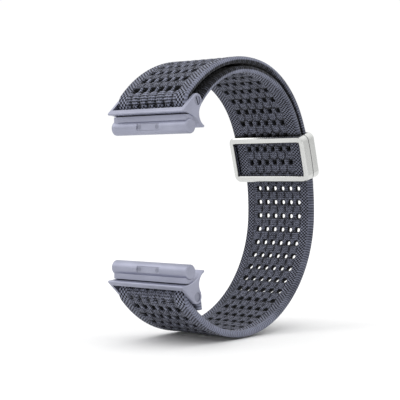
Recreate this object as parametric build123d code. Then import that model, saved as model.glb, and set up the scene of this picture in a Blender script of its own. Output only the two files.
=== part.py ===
from build123d import *
import math
import os

# An adjustable elastic strap that closes into a ring. X runs across the band, Y runs from the front of
# the ring to its far side and Z runs up. The origin is the middle of the upper adapter's rail.
# Lengths are millimetres and angles are degrees.

# Sizes of the band
band_width = 24.2
band_thickness = 1.9
band_edge_rounding = 0.8
row_pitch = 4.25
column_pitch = 2.89
column_count = 6
hole_length = 1.35
hole_width = 1.0
lug_row_gap = 1.0
fold_row_gap = 3.0
last_row_gap = 1.6
running_row_angle = 6.3
return_row_angle = 14.4
seam_gap = 0.1
split_gap = 0.05

# Sizes of the ring's side view
rail_spacing = 38.0
bar_rise = 6.7
bar_setback = 2.6
loop_depth = 59.3
far_side_drop = 4.45
far_arc_radius = 62.0
far_arc_top_angle = 26.0
far_arc_bottom_angle = -1.5
upper_shoulder_radius = 27.5
upper_crown_angle = 79.0
lower_shoulder_radius = 31.0
lower_crown_angle = -30.0
tab_angle = 35.0

# Sizes of the cross bars
bar_radius = 1.2
bar_band_clearance = 0.3
bar_bore_clearance = 0.03
bar_end_recess = 0.15
bar_slot_width = 0.35
bar_slot_depth = 0.5
bar_slot_angle = 25.0

# Sizes of the lug adapters
ear_clearance = 0.3
ear_thickness = 1.0
ear_radius = 1.9
ear_edge_chamfer = 0.2
ear_back_angle = -30.0
notch_clearance = 0.3
lip_height = 4.8
rail_radius = 2.0
rail_end_rounding = 0.5
neck_width = 2.6
foot_front_reach = 3.4
foot_front_height = 3.8
foot_back_reach = 5.4
foot_back_height = 0.1
foot_middle_height = 3.0
foot_tip_radius = 0.35
waist_setback = 3.3
waist_height = 3.2

# Sizes of the detent in each rail
detent_travel = 0.7
tip_length = 3.0
tip_width = 1.3
flange_overlap = 0.4
flange_width_step = 0.2
flange_thickness = 0.4
shoulder_depth = 0.9
plate_length = 7.8
plate_width = 1.7
plate_thickness = 0.45
plate_recess = 0.25
fit_clearance = 0.05
spring_radius = 0.6
spring_wire_radius = 0.09
spring_turns = 3
screw_radius = 0.35
screw_head_radius = 0.6
screw_head_height = 0.22
screw_length = 1.7
screw_spacing = 6.2
screw_clearance = 0.02

# Sizes of the clasp
clasp_angle = 15.6
clasp_height = 14.0
clasp_side_wall = 1.35
clasp_face_wall = 0.82
clasp_back_wall = 0.65
clasp_corner_radius = 2.0
clasp_edge_chamfer = 0.35
clasp_seam_gap = 0.02
slot_clearance = 0.12
slot_side_clearance = 0.25
divider_thickness = 0.3
divider_hold = 0.35
divider_clearance = 0.03
divider_top_gap = 0.1
window_width = 24.2
window_height = 10.0
window_corner_radius = 0.8
window_chamfer = 0.3
end_wall = 0.7
crimp_wall = 0.3
crimp_step = 0.19
crimp_height = 1.15
crimp_clearance = 0.02
dowel_radius = 0.3
dowel_length = 2.4
dowel_spacing = 9.0
dowel_edge_distance = 0.55

# Sizes of the stitching
stitch_radius = 0.14
stitch_length = 1.5
stitch_spacing = 2.2
stitch_count = 10
stitch_row_spacing = 1.3
stitch_rows = 2
stitch_gap = 0.02

# One overrun serves every cut
overrun = 2.0

# A rounding stays inside its wall by these shares
edge_limit_share = 0.95
tip_rounding_share = 0.3

# Angles of the three points round each tip of an adapter's foot
front_tip_angles = (130, 190, 265)
back_tip_angles = (40, -40, -125)

os.makedirs("parts", exist_ok=True)


def unit(angle):
    return Vector(0, math.cos(math.radians(angle)), math.sin(math.radians(angle)))


def angle_of(vector):
    return math.degrees(math.atan2(vector.Z, vector.Y))


# The ring's side view is a chain of arcs that meet without a corner. Each arc is a centre, a radius,
# an angle where it starts and the angle that it turns through, seen along the band's width.
upper_bar = Vector(0, bar_setback, bar_rise)
lower_bar = Vector(0, bar_setback, -rail_spacing - bar_rise)
far_centre = Vector(0, loop_depth - far_arc_radius, -rail_spacing / 2 - far_side_drop)
fold_radius = bar_radius + bar_band_clearance + band_thickness / 2
notch_radius = fold_radius + band_thickness / 2 + notch_clearance
layer_step = band_thickness + 2 * slot_clearance + divider_thickness
return_arc_radius = far_arc_radius - layer_step


def shoulder_centre(angle, radius):
    return far_centre + unit(angle) * (far_arc_radius - radius)


def crown(centre, radius, angle, bar, bar_gap):
    """Centre and radius of the arc that leaves a shoulder at an angle and just meets a bar's circle."""
    reach = centre - bar
    span = radius - bar_gap
    shift = (reach.dot(reach) - span * span) / (2 * (span + unit(angle).dot(reach)))
    return centre - unit(angle) * shift, radius + shift


upper_shoulder = shoulder_centre(far_arc_top_angle, upper_shoulder_radius)
lower_shoulder = shoulder_centre(far_arc_bottom_angle, lower_shoulder_radius)
upper_crown, upper_crown_radius = crown(
    upper_shoulder, upper_shoulder_radius, upper_crown_angle, upper_bar, fold_radius)
lower_crown, lower_crown_radius = crown(
    lower_shoulder, lower_shoulder_radius, lower_crown_angle, lower_bar, fold_radius)
return_crown, return_crown_radius = crown(
    upper_shoulder, upper_shoulder_radius - layer_step, upper_crown_angle, upper_bar, -fold_radius)
upper_fold_start = angle_of(upper_bar - upper_crown)
upper_fold_end = angle_of(return_crown - upper_bar) + 360
lower_fold_start = angle_of(lower_bar - lower_crown)
lower_fold_end = lower_fold_start - 180 - tab_angle

running_arcs = [
    (lower_bar, fold_radius, lower_fold_end, lower_fold_start),
    (lower_crown, lower_crown_radius, lower_fold_start, lower_crown_angle),
    (lower_shoulder, lower_shoulder_radius, lower_crown_angle, far_arc_bottom_angle),
    (far_centre, far_arc_radius, far_arc_bottom_angle, far_arc_top_angle),
    (upper_shoulder, upper_shoulder_radius, far_arc_top_angle, upper_crown_angle),
    (upper_crown, upper_crown_radius, upper_crown_angle, upper_fold_start),
    (upper_bar, fold_radius, upper_fold_start, upper_fold_end),
]


# The clasp is drawn with its middle on the far arc at no angle, then turned to its place on the band
clasp_half_height = clasp_height / 2
slot_half_width = band_width / 2 + slot_side_clearance
clasp_half_width = slot_half_width + clasp_side_wall
running_slot_outer = far_arc_radius + band_thickness / 2 + slot_clearance
running_slot_inner = far_arc_radius - band_thickness / 2 - slot_clearance
return_slot_outer = running_slot_inner - divider_thickness
return_slot_inner = return_arc_radius - band_thickness / 2 - slot_clearance
face_radius = math.sqrt(return_slot_inner**2 - clasp_half_height**2) - clasp_face_wall
back_radius = running_slot_outer + clasp_back_wall
seam_radius = return_slot_outer - divider_clearance
crimp_outer = return_slot_outer - divider_clearance
crimp_inner = return_slot_inner - crimp_step
crimp_bottom = -clasp_half_height + end_wall + crimp_clearance
tongue_bottom = crimp_bottom + crimp_wall + crimp_clearance
return_end = tongue_bottom + crimp_height - crimp_wall


def arc_angle(height, radius):
    """Angle on the far arc at which a point of this radius has this height above the clasp's middle."""
    return math.degrees(math.asin(height / radius))


return_end_angle = clasp_angle + arc_angle(return_end, return_arc_radius + band_thickness / 2)
return_start_angle = angle_of(upper_bar - return_crown) - math.degrees(split_gap / return_crown_radius)
return_arcs = [
    (return_crown, return_crown_radius, return_start_angle, upper_crown_angle),
    (upper_shoulder, upper_shoulder_radius - layer_step, upper_crown_angle, far_arc_top_angle),
    (far_centre, return_arc_radius, far_arc_top_angle, return_end_angle),
]


def along_x(centre):
    return Axis((0, centre.Y, centre.Z), (1, 0, 0))


def band_piece(centre, radius, start, end, thickness=band_thickness):
    """One arc of band: its rounded section, turned about the arc's centre."""
    rounding = min(band_edge_rounding, thickness / 2 * edge_limit_share)
    plane = Plane((0, centre.Y + radius, centre.Z), x_dir=(1, 0, 0), z_dir=(0, 0, 1))
    section = plane * RectangleRounded(band_width, thickness, rounding)
    section = section.rotate(along_x(centre), min(start, end))
    return revolve(section, along_x(centre), abs(end - start))


def reach_to_circle(point, direction, centre, radius):
    """Distance from a point inside a circle, along a direction, to the circle."""
    offset = point - centre
    along = offset.dot(direction)
    return -along + math.sqrt(along * along - offset.dot(offset) + radius * radius)


# The lower end of the band goes round its bar and lies back against itself as a short sewn tab
tab_start = lower_bar + unit(lower_fold_end) * fold_radius
tab_direction = unit(lower_fold_end - 90)
tab_outward = -unit(lower_fold_end)
tab_length = reach_to_circle(
    tab_start + tab_outward * (band_thickness / 2), tab_direction, lower_crown,
    lower_crown_radius - band_thickness / 2 - seam_gap)


def sewn_tab():
    rounding = min(band_edge_rounding, band_thickness / 2 * edge_limit_share)
    plane = Plane(tab_start, x_dir=(1, 0, 0), z_dir=tab_direction)
    return extrude(plane * RectangleRounded(band_width, band_thickness, rounding), tab_length)


def row_places(arcs, reference_angle, reference_index, first, last):
    """Places of the hole rows along a chain of arcs, counted from one row on the far arc."""
    lengths = [radius * math.radians(abs(end - start)) for _, radius, start, end in arcs]
    _, radius, start, _ = arcs[reference_index]
    reference = sum(lengths[:reference_index]) + radius * math.radians(abs(reference_angle - start))
    low = first
    high = sum(lengths) - last
    number = math.ceil((low - reference) / row_pitch)
    places = []
    while reference + number * row_pitch < high:
        distance = reference + number * row_pitch
        for (centre, radius, start, end), length in zip(arcs, lengths):
            if distance <= length:
                break
            distance -= length
        turn = math.degrees(distance / radius)
        places.append((centre, radius, start + math.copysign(turn, end - start)))
        number += 1
    return places


def row_holes(places):
    """Slots through the band, six to a row, set square to the band at each place."""
    holes = []
    for centre, radius, angle in places:
        plane = Plane(centre + unit(angle) * radius, x_dir=(1, 0, 0), z_dir=unit(angle))
        for column in range(column_count):
            across = (column - (column_count - 1) / 2) * column_pitch
            holes.append(plane * Pos(across, 0, 0) * Box(
                hole_width, hole_length, band_thickness + overrun))
    return holes


def band_running_layer():
    """The band from its sewn tab, round the lower bar, through the clasp and round the upper bar."""
    pieces = [band_piece(*arc) for arc in running_arcs]
    band = pieces[0].fuse(*pieces[1:], sewn_tab())
    rows = row_places(running_arcs[1:-1], running_row_angle, 2, lug_row_gap, lug_row_gap)
    return band.cut(*row_holes(rows))


def band_return_layer():
    """The doubled end of the same band, from the upper fold back into the clasp."""
    pieces = [band_piece(*arc) for arc in return_arcs]
    tongue_outer = crimp_outer - crimp_wall - crimp_clearance
    tongue_inner = crimp_inner + crimp_wall + crimp_clearance
    tongue_radius = (tongue_outer + tongue_inner) / 2
    pieces.append(band_piece(
        far_centre, tongue_radius,
        clasp_angle + arc_angle(tongue_bottom, tongue_outer), return_end_angle,
        tongue_outer - tongue_inner))
    band = pieces[0].fuse(*pieces[1:])
    rows = row_places(return_arcs, return_row_angle, 2, fold_row_gap, last_row_gap)
    return band.cut(*row_holes(rows))


def lower_fold_stitching():
    """Short thread stitches in rows across the sewn tab, on its inner face."""
    stitches = []
    lift = band_thickness / 2 + stitch_gap + stitch_radius
    for row in range(stitch_rows):
        place = tab_start + tab_direction * (tab_length - (row + 1 / 2) * stitch_row_spacing)
        place = place - tab_outward * lift
        for number in range(stitch_count):
            across = (number - (stitch_count - 1) / 2) * stitch_spacing
            stitch = Cylinder(stitch_radius, stitch_length, rotation=(0, 90, 0))
            stitch = fillet(stitch.edges(), stitch_radius * edge_limit_share)
            stitches.append(Pos(across, place.Y, place.Z) * stitch)
    return Compound(children=stitches)


# A lug adapter is drawn for the upper end, and the lower one is the same set turned half way round
ear_half_gap = band_width / 2 + ear_clearance
lug_half_width = ear_half_gap + ear_thickness


def tangent_point(point, centre, radius):
    """Where the line from a point touches the upper side of a circle."""
    reach = centre - point
    lean = math.degrees(math.asin(radius / reach.length))
    direction = unit(angle_of(reach) + lean)
    return point + direction * math.sqrt(reach.length**2 - radius**2)


def extrude_width(sketch, half_width):
    return extrude(sketch, half_width, both=True)


def x_cylinder(centre, radius, half_length):
    return Pos(0, centre.Y, centre.Z) * Cylinder(radius, 2 * half_length, rotation=(0, 90, 0))


def tip_points(centre, angles):
    """Three points round one of the foot's rounded tips."""
    return [centre + unit(angle) * foot_tip_radius for angle in angles]


def lug_outline():
    """Side view of the adapter above its rail: front face, ear, waist and the foot's hollow underside."""
    front = Vector(0, foot_tip_radius - foot_front_reach, foot_front_height)
    back = Vector(0, foot_back_reach - foot_tip_radius, foot_back_height)
    front_top, front_tip, front_under = tip_points(front, front_tip_angles)
    back_top, back_tip, back_under = tip_points(back, back_tip_angles)
    touch = tangent_point(front_top, upper_bar, ear_radius)
    ear_back = upper_bar + unit(ear_back_angle) * ear_radius
    ear_middle = upper_bar + unit((angle_of(touch - upper_bar) + ear_back_angle) / 2) * ear_radius
    waist = Vector(0, waist_setback, waist_height)
    middle = Vector(0, 0, foot_middle_height)
    edges = [
        Line(front_top, touch),
        ThreePointArc(touch, ear_middle, ear_back),
        ThreePointArc(ear_back, waist, back_top),
        ThreePointArc(back_top, back_tip, back_under),
        ThreePointArc(back_under, middle, front_under),
        ThreePointArc(front_under, front_tip, front_top),
    ]
    return Face(Wire(edges))


# The detent runs along Y in the middle of the rail. Its button comes out at the back.
flange_length = tip_length + 2 * flange_overlap
flange_width = tip_width + 2 * flange_width_step
plate_outer = -rail_radius + plate_recess
plate_inner = plate_outer + plate_thickness
shoulder_place = rail_radius - shoulder_depth
flange_front = shoulder_place - fit_clearance - flange_thickness


def pill(length, width, low, high):
    """A solid with round ends, long in X and standing along Y from low to high."""
    sketch = Plane((0, low, 0), x_dir=(1, 0, 0), z_dir=(0, 1, 0)) * SlotOverall(length, width)
    return extrude(sketch, high - low)


def y_cylinder(across, radius, low, high):
    plane = Plane((across, low, 0), x_dir=(1, 0, 0), z_dir=(0, 1, 0))
    return extrude(plane * Circle(radius), high - low)


def screw_places():
    return (-screw_spacing / 2, screw_spacing / 2)


def lug_body():
    """Rail, neck and foot with two ears, in one piece of metal."""
    rail = x_cylinder(Vector(0, 0, 0), rail_radius, lug_half_width)
    rail = fillet(rail.edges(), rail_end_rounding)
    neck = Pos(0, 0, foot_middle_height / 2) * Box(
        2 * (lug_half_width - rail_end_rounding), neck_width, foot_middle_height)
    foot = extrude_width(lug_outline(), lug_half_width)
    for side in (0, -1):
        rim = foot.faces().sort_by(Axis.X)[side].edges()
        foot = chamfer([edge for edge in rim if edge.center().Z > foot_front_height], ear_edge_chamfer)
    body = rail.fuse(neck, foot)
    body = body - x_cylinder(upper_bar, notch_radius, ear_half_gap)
    lip_cut = Pos(0, upper_bar.Y - foot_back_reach, lip_height + bar_rise) * Box(
        2 * ear_half_gap, 2 * foot_back_reach, 2 * bar_rise)
    body = body - lip_cut
    body = body - x_cylinder(upper_bar, bar_radius + bar_bore_clearance, lug_half_width + overrun)
    body = body - pill(tip_length + 2 * fit_clearance, tip_width + 2 * fit_clearance,
                       shoulder_place - fit_clearance, rail_radius + overrun)
    body = body - pill(flange_length + 2 * fit_clearance, flange_width + 2 * fit_clearance,
                       plate_inner - fit_clearance, shoulder_place)
    recess_length = plate_length + 2 * fit_clearance
    body = body - Pos(0, plate_inner - overrun / 2, 0) * Box(
        recess_length, overrun, plate_width + 2 * fit_clearance)
    for across in screw_places():
        body = body - y_cylinder(across, screw_radius + screw_clearance, plate_outer,
                                 plate_outer + screw_length + screw_clearance)
    return body


def screw_bar():
    """Cross bar that the band goes round, with a driver slot in one end."""
    half = lug_half_width - bar_end_recess
    bar = x_cylinder(upper_bar, bar_radius, half)
    slot = Pos(half, upper_bar.Y, upper_bar.Z) * Box(
        2 * bar_slot_depth, bar_slot_width, 2 * bar_radius + overrun)
    slot = slot.rotate(along_x(upper_bar), bar_slot_angle)
    return bar - slot


def detent_button():
    """Long button with a flange that stops it behind the rail's shoulder."""
    flange = pill(flange_length, flange_width, flange_front, flange_front + flange_thickness)
    tip = pill(tip_length, tip_width, flange_front, rail_radius + detent_travel)
    far_edges = tip.faces().sort_by(Axis.Y)[-1].edges()
    tip = fillet(far_edges, tip_width * tip_rounding_share)
    return flange.fuse(tip)


def detent_spring():
    """Coil spring between the retaining plate and the button's flange."""
    low = plate_inner + fit_clearance + spring_wire_radius
    high = flange_front - fit_clearance - spring_wire_radius
    plane = Plane((0, low, 0), x_dir=(1, 0, 0), z_dir=(0, 1, 0))
    path = plane * Helix((high - low) / spring_turns, high - low, spring_radius)
    start = path @ 0
    section = Plane(start, z_dir=path % 0) * Circle(spring_wire_radius)
    print("detent spring: pitch", round((high - low) / spring_turns, 3), "gap between curls",
          round((high - low) / spring_turns - 2 * spring_wire_radius, 3))
    return sweep(section, path, is_frenet=True)


def retaining_plate():
    """Thin plate that closes the detent's pocket, with a countersink for each screw."""
    plate = Pos(0, (plate_outer + plate_inner) / 2 - fit_clearance, 0) * Box(
        plate_length, plate_thickness, plate_width)
    for across in screw_places():
        plate = plate - y_cylinder(across, screw_radius + screw_clearance,
                                   plate_outer - overrun, plate_inner + overrun)
        plate = plate - y_cylinder(across, screw_head_radius + screw_clearance,
                                   plate_outer - overrun, plate_outer + screw_head_height)
    return plate


def plate_screws():
    """Two small flat-headed screws, threads left plain."""
    screws = []
    for across in screw_places():
        front = plate_outer - fit_clearance
        head = y_cylinder(across, screw_head_radius, front, front + screw_head_height)
        shank = y_cylinder(across, screw_radius, front, front + screw_length)
        screws.append(head.fuse(shank))
    return Compound(children=screws)


def ring(inner, outer, half_width):
    """A ring about the far arc's axis, as a cutter or a plate's blank."""
    centre = Vector(0, far_centre.Y, far_centre.Z)
    return x_cylinder(centre, outer, half_width) - x_cylinder(centre, inner, half_width + overrun)


def clasp_block(low, high):
    """A block with rounded corners between two depths, before the slots are cut."""
    plane = Plane((0, far_centre.Y + low, far_centre.Z), x_dir=(1, 0, 0), z_dir=(0, 1, 0))
    return extrude(plane * RectangleRounded(
        2 * clasp_half_width, clasp_height, clasp_corner_radius), high - low)


def slab(low, high, bottom, top, half_width):
    """A plain block given by its depths and heights in the clasp's own place."""
    return Pos(0, far_centre.Y + (low + high) / 2, far_centre.Z + (bottom + top) / 2) * Box(
        2 * half_width, high - low, top - bottom)


def divider_groove():
    half = slot_half_width + divider_hold + divider_clearance
    groove = ring(return_slot_outer - divider_clearance, running_slot_inner + divider_clearance, half)
    return groove & slab(face_radius, back_radius, -clasp_half_height + end_wall,
                         clasp_half_height + overrun, half)


def dowel_spots():
    across = clasp_half_width - dowel_edge_distance
    return [(side * across, rise * dowel_spacing / 2) for side in (-1, 1) for rise in (-1, 1)]


def dowels(radius, length):
    pins = []
    for across, rise in dowel_spots():
        plane = Plane((across, far_centre.Y + seam_radius - length / 2, far_centre.Z + rise),
                      x_dir=(1, 0, 0), z_dir=(0, 1, 0))
        pins.append(extrude(plane * Circle(radius), length))
    return pins


def place_clasp(shape):
    return shape.rotate(along_x(far_centre), clasp_angle)


def clasp_inner_frame():
    """The half with the window, on the wearer's side, holding the band's end."""
    frame = clasp_block(face_radius, seam_radius)
    frame = chamfer(frame.faces().sort_by(Axis.Y)[0].edges(), clasp_edge_chamfer)
    slot = ring(return_slot_inner, seam_radius + overrun, slot_half_width)
    frame = frame - (slot & slab(face_radius, back_radius + overrun, -clasp_half_height + end_wall,
                                 clasp_half_height + overrun, slot_half_width))
    pocket = ring(crimp_inner - crimp_clearance, seam_radius + overrun, slot_half_width)
    pocket_top = return_end + crimp_clearance
    frame = frame - (pocket & slab(face_radius, back_radius, -clasp_half_height + end_wall,
                                   pocket_top, slot_half_width))
    plane = Plane((0, far_centre.Y + face_radius - overrun, far_centre.Z),
                  x_dir=(1, 0, 0), z_dir=(0, 1, 0))
    depth = return_slot_inner - face_radius + 2 * overrun
    frame = frame - extrude(plane * RectangleRounded(
        window_width, window_height, window_corner_radius), depth)
    rim = frame.faces().sort_by(Axis.Y)[0].inner_wires()[0].edges()
    frame = chamfer(rim, window_chamfer)
    frame = frame - divider_groove()
    for pin in dowels(dowel_radius + crimp_clearance, dowel_length + 2 * crimp_clearance):
        frame = frame - pin
    return place_clasp(frame)


def clasp_outer_cover():
    """The half on the outside, which the running layer slides through."""
    cover = clasp_block(seam_radius + clasp_seam_gap, back_radius)
    cover = chamfer(cover.faces().sort_by(Axis.Y)[-1].edges(), clasp_edge_chamfer)
    cover = cover - ring(seam_radius - overrun, running_slot_outer, slot_half_width)
    cover = cover - divider_groove()
    for pin in dowels(dowel_radius + crimp_clearance, dowel_length + 2 * crimp_clearance):
        cover = cover - pin
    return place_clasp(cover)


def clasp_divider_plate():
    """Thin curved plate between the two layers, held in both halves' side walls."""
    half = slot_half_width + divider_hold
    plate = ring(return_slot_outer, running_slot_inner, half)
    plate = plate & slab(face_radius, back_radius, -clasp_half_height + end_wall + divider_clearance,
                         clasp_half_height - divider_top_gap, half)
    return place_clasp(plate)


def clasp_dowel_pins():
    """Four press-fitted pins that join the halves."""
    return place_clasp(Compound(children=dowels(dowel_radius, dowel_length)))


def band_end_crimp():
    """Folded metal strip round the band's cut end. It is too thick to leave the clasp's slot."""
    shell = ring(crimp_inner, crimp_outer, slot_half_width - slot_side_clearance)
    shell = shell & slab(face_radius, back_radius, crimp_bottom, crimp_bottom + crimp_height,
                         slot_half_width)
    hollow = ring(crimp_inner + crimp_wall, crimp_outer - crimp_wall, slot_half_width)
    hollow = hollow & slab(face_radius, back_radius, crimp_bottom + crimp_wall,
                           crimp_bottom + crimp_height + overrun, slot_half_width)
    return place_clasp(shell - hollow)


def lower_end(shape):
    """The same piece at the ring's lower end, turned half way round an axis along Y."""
    return shape.rotate(Axis((0, 0, -rail_spacing / 2), (0, 1, 0)), 180)


nodes = {
    "band_running_layer": band_running_layer(),
    "band_return_layer": band_return_layer(),
    "lower_fold_stitching": lower_fold_stitching(),
    "band_end_crimp": band_end_crimp(),
    "clasp_inner_frame": clasp_inner_frame(),
    "clasp_outer_cover": clasp_outer_cover(),
    "clasp_divider_plate": clasp_divider_plate(),
    "clasp_dowel_pins": clasp_dowel_pins(),
}

adapter = {
    "lug_body": lug_body(),
    "screw_bar": screw_bar(),
    "detent_button": detent_button(),
    "detent_spring": detent_spring(),
    "retaining_plate": retaining_plate(),
    "plate_screws": plate_screws(),
}
for name, shape in adapter.items():
    nodes["upper_" + name] = shape
    nodes["lower_" + name] = lower_end(shape)

for name, shape in nodes.items():
    export_step(shape, "parts/" + name + ".step")

print("far arc's centre:", [round(value, 3) for value in (far_centre.Y, far_centre.Z)])
print("bars:", [round(value, 3) for value in (upper_bar.Y, upper_bar.Z, lower_bar.Z)])
print("sewn tab length:", round(tab_length, 2), "crown radii:", round(upper_crown_radius, 2),
      round(lower_crown_radius, 2), round(return_crown_radius, 2))
print("pieces written:", len(nodes))
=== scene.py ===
# %% [markdown]
# This is an elastic knitted strap that closes into a ring. Each end has a metal adapter with a
# rail on it, and on the far side sits a slide clasp, above which the band lies double.
# The metal pieces come ready as solids and only get a finish here. The band's two layers, the
# sewing thread and the springs are plain solids, which can't show yarn or be squeezed, so each
# of them gets a mesh of its own that takes its solid's place.

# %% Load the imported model
import math

import bmesh
import bpy
import numpy as np
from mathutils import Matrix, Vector


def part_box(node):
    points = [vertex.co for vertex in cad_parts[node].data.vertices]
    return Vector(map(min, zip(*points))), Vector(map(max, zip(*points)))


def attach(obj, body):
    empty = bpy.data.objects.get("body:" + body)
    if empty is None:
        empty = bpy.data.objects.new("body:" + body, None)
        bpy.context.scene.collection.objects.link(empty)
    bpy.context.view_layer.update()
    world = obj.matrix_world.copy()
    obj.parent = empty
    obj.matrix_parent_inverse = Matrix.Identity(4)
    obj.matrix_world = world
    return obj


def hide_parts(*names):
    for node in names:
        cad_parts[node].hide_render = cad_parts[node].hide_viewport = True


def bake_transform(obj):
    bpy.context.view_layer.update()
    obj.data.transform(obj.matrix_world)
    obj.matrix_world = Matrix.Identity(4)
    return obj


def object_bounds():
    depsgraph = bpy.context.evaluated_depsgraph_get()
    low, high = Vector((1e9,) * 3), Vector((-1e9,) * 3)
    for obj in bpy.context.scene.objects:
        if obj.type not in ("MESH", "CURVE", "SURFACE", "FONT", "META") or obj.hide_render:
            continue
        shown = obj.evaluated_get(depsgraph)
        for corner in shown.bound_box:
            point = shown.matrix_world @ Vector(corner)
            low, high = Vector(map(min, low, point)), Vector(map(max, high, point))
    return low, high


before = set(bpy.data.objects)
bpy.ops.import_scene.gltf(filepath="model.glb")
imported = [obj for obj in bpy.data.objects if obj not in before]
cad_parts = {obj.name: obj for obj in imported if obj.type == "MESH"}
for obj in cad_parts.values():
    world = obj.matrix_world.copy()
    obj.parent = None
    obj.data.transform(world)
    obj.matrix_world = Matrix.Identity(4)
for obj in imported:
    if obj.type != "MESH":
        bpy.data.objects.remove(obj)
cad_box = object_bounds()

# %% [markdown]
# Everything is worked out in millimetres, because a knit is easier to think about that way, and
# is turned into metres when a mesh is made.
# Seen from the side, the ring is a chain of arcs. Each arc is the Y and Z of its centre, its
# radius, and the angles in degrees where it starts and ends. A curve object could carry the same
# line, but the solids stand on these very arcs, so plain numbers keep the two in step.

# %% Arcs of the ring
MM = 0.001
FAR_CENTRE = (-2.7, -23.45)
RETURN_RADIUS = 59.56

running_arcs = [
    (2.6, -44.7, 2.45, -351.0596, -136.0596),
    (25.4874, -22.6438, 34.2354, -136.0596, -30.0),
    (28.2894, -24.2615, 31.0, -30.0, -1.5),
    (*FAR_CENTRE, 62.0, -1.5, 26.0),
    (28.3084, -8.3262, 27.5, 26.0, 79.0),
    (26.6820, -16.6931, 36.0235, 79.0, 135.8313),
    (2.6, 6.7, 2.45, 135.8313, 323.3058),
]
return_arcs = [
    (*FAR_CENTRE, RETURN_RADIUS, 10.7557, 26.0),
    (28.3084, -8.3262, 25.06, 26.0, 79.0),
    (27.6068, -11.9356, 28.7369, 79.0, 143.3058),
]


def arc_lengths(arcs):
    return [radius * math.radians(end - start) for _, _, radius, start, end in arcs]


def distance_at(arcs, index, angle):
    """How far along the chain of arcs an angle on one of them lies."""
    _, _, radius, start, _ = arcs[index]
    return sum(arc_lengths(arcs)[:index]) + radius * math.radians(angle - start)


running_length = sum(arc_lengths(running_arcs))
return_length = sum(arc_lengths(return_arcs))
print("running layer:", round(running_length, 1), "mm, return layer:",
      round(return_length, 1), "mm")

# %% [markdown]
# A point of the band is given by how far it lies along the chain, how far across, and how high
# it stands above the band's middle surface. This function turns many such points at once into
# places in space. Before the first arc and after the last one the band runs straight on, which
# makes the sewn tab. A curve modifier would bend a flat mesh in the same way, but it needs a
# curve object for each layer and gives the heights no say.

# %% Places along the band


def band_points(arcs, along, across, height):
    """Points in millimetres. Height is measured outward from the band's middle."""
    lengths = arc_lengths(arcs)
    inside = np.clip(along, 0, sum(lengths) - 1e-6)
    limits = np.cumsum([0] + lengths)
    index = np.searchsorted(limits, inside, side="right") - 1
    index = np.clip(index, 0, len(arcs) - 1)
    table = np.array(arcs)[index]
    angle = np.radians(table[..., 3]) + (inside - limits[index]) / table[..., 2]
    reach = table[..., 2] + height
    beyond = along - inside
    y = table[..., 0] + reach * np.cos(angle) - beyond * np.sin(angle)
    z = table[..., 1] + reach * np.sin(angle) + beyond * np.cos(angle)
    return np.stack([across, y, z], -1)


both_ends = band_points(running_arcs, np.array([0.0, running_length]), np.zeros(2), 0.0)
print("running layer from", both_ends[0].round(2), "to", both_ends[1].round(2), "mm")

# %% [markdown]
# The holes stand in rows of six. The real band is knitted in one go, so its rows are evenly
# spaced. They are counted both ways from one that shows just below the clasp, and in the doubled
# layer from one that shows in the clasp's window.
# An Array modifier could repeat a patch of knit, but then its length would set the rows' places.
# Here the rows that fit are found from the lengths of the arcs.

# %% Rows of holes
ROW_PITCH = 4.25
COLUMN_PITCH = 2.89
COLUMNS = [(n - 2.5) * COLUMN_PITCH for n in range(6)]


def row_places(arcs, index, angle, first, last):
    """Distances of the rows that fit between two others, one row being at an angle of an arc."""
    reference = distance_at(arcs, index, angle)
    low = math.ceil((first - reference) / ROW_PITCH)
    high = math.floor((last - reference) / ROW_PITCH)
    return [reference + n * ROW_PITCH for n in range(low, high + 1)]


lower_fold = arc_lengths(running_arcs)[0]
upper_fold = running_length - arc_lengths(running_arcs)[-1]
running_rows = row_places(running_arcs, index=3, angle=6.3,
                          first=lower_fold + 1.0, last=upper_fold - 1.0)
return_rows = row_places(return_arcs, index=0, angle=14.4,
                         first=1.6, last=return_length - 3.0)
print("rows of holes:", len(running_rows), "in the running layer,",
      len(return_rows), "in the return layer")

# %% [markdown]
# The knit's shape comes from height. A sculpted mesh could show it too, but this pattern repeats
# exactly, so plain arithmetic on distances is shorter and easier to correct. It needs only three
# helpers: a soft hill, a soft step, and the distance to the nearest of some lines.

# %% Hills, steps and distances


def bump(distance, width):
    """A soft round hill, one high and about this wide each way."""
    return np.exp(-((distance / width) ** 2))


def ramp(values, low, high):
    """0 below low, 1 above high, and smooth between."""
    share = np.clip((values - low) / (high - low), 0, 1)
    return share * share * (3 - 2 * share)


def nearest(values, places):
    """Signed distance from each value to the nearest of some places."""
    places = np.array(places)
    halfway = (places[1:] + places[:-1]) / 2
    index = np.clip(np.searchsorted(halfway, values), 0, len(places) - 1)
    return values - places[index]


print("halfway up a step from 0 to 2:", ramp(np.array([1.0]), 0, 2)[0])

# %% [markdown]
# The face that shows has deep pits round the holes. Between two rows lie plump cells, one to a
# hole. A cell stands on a seam that bows round the hole at its foot, and straight seams part it
# from its neighbours. Near the adapters the rows of holes end, and there only shallow grooves
# run on between raised blocks, with a lip along the last row.
# Each helper gives numbers from 0 to about 1 for every point: how deep it lies in a pit, how
# deep in a seam, and how far up on a crest. Depths and distances are in millimetres, and two
# numbers in brackets are where something starts and where it is at its full strength.

# %% The face that shows
SEAM_DEPTH = 0.3
SEAM_WIDTH = 0.3
FOOT_HEIGHT = 0.75
STRAIGHT_SEAM_WIDTH = 0.22
STRAIGHT_SEAM_BEGINS, STRAIGHT_SEAM_STOPS = (1.3, 1.7), (3.5, 3.9)
LAST_PITS_WIDER, LAST_PITS_WITHIN = 0.45, 1.5
CREST_WIDTH, CREST_BESIDE_HOLE = 0.8, (0.8, 1.2)
BLOCKS_AFTER_ROW = (0.8, 1.2)
GROOVE_WIDTH = 0.24
UPPER_GROOVE, LOWER_GROOVE = 0.2, 0.08
LIP_HEIGHT, LIP_FROM_ROW, LIP_WIDTH = 0.5, 1.35, 0.3


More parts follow.
